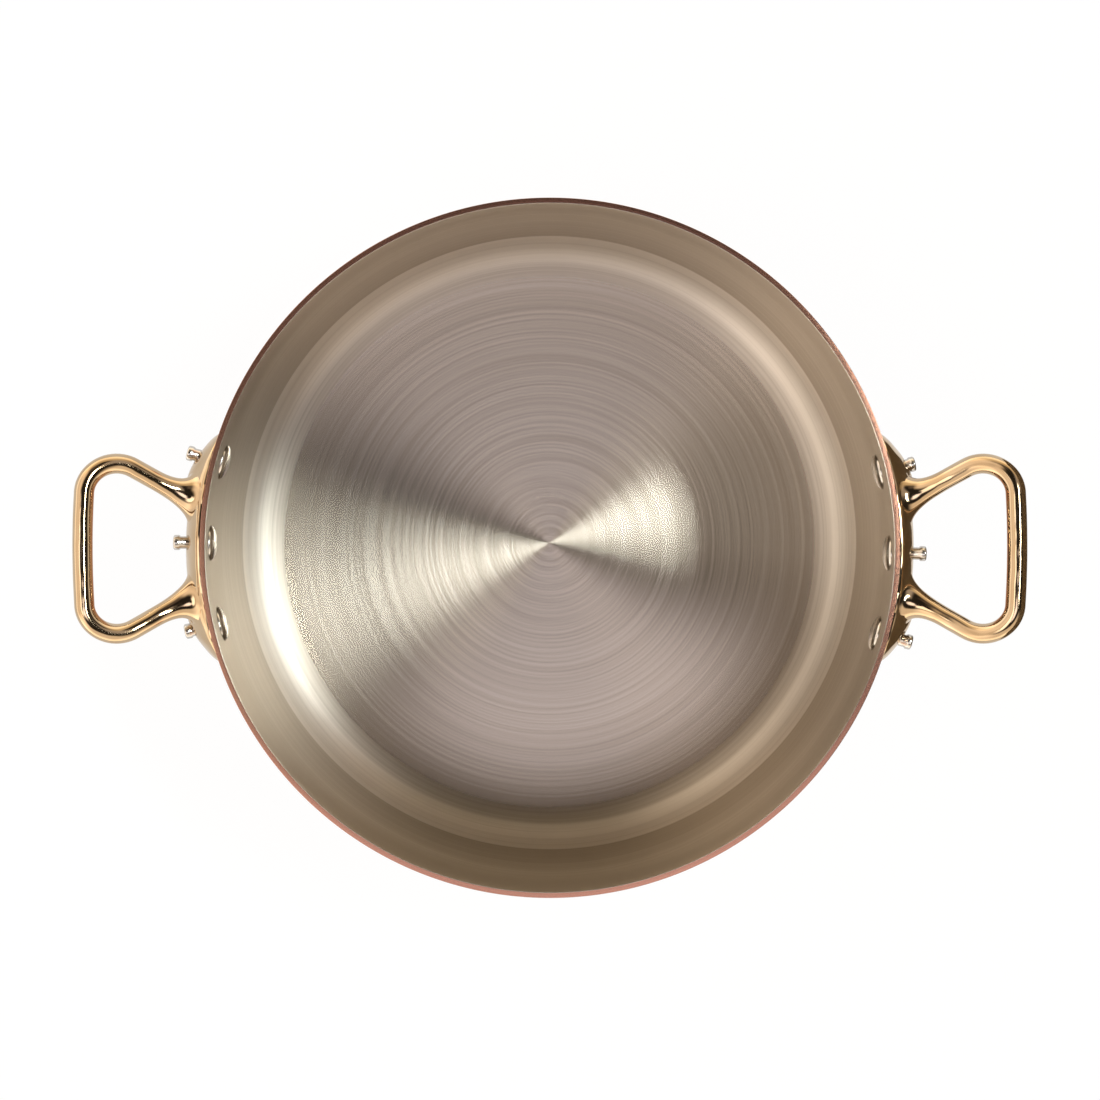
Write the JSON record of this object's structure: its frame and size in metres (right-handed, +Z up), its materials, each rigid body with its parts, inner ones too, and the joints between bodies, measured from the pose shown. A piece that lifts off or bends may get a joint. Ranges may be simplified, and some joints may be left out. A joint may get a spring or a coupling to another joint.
{
  "type": "stew pot",
  "caption": "Round straight-sided copper stew pot with a brushed steel lining and two riveted cast loop handles, open at the top.",
  "frame": {"origin": "middle of the underside of the base, on the surface that the pot stands on", "axes": "+Z up along the pot's axis, +X through the right handle, +Y to the back"},
  "size_m": [0.3254, 0.24, 0.1357],
  "materials": {
    "copper": "polished",
    "steel": "brushed in circles",
    "handle_metal": "polished",
    "rivet_steel": "polished"
  },
  "bodies": {
    "root": {"copper_shell": "copper", "steel_lining": "steel", "handle_left": "handle_metal", "handle_right": "handle_metal", "rivet_left_1": "rivet_steel", "rivet_left_2": "rivet_steel", "rivet_left_3": "rivet_steel", "rivet_right_1": "rivet_steel", "rivet_right_2": "rivet_steel", "rivet_right_3": "rivet_steel"}
  },
  "joints": []
}
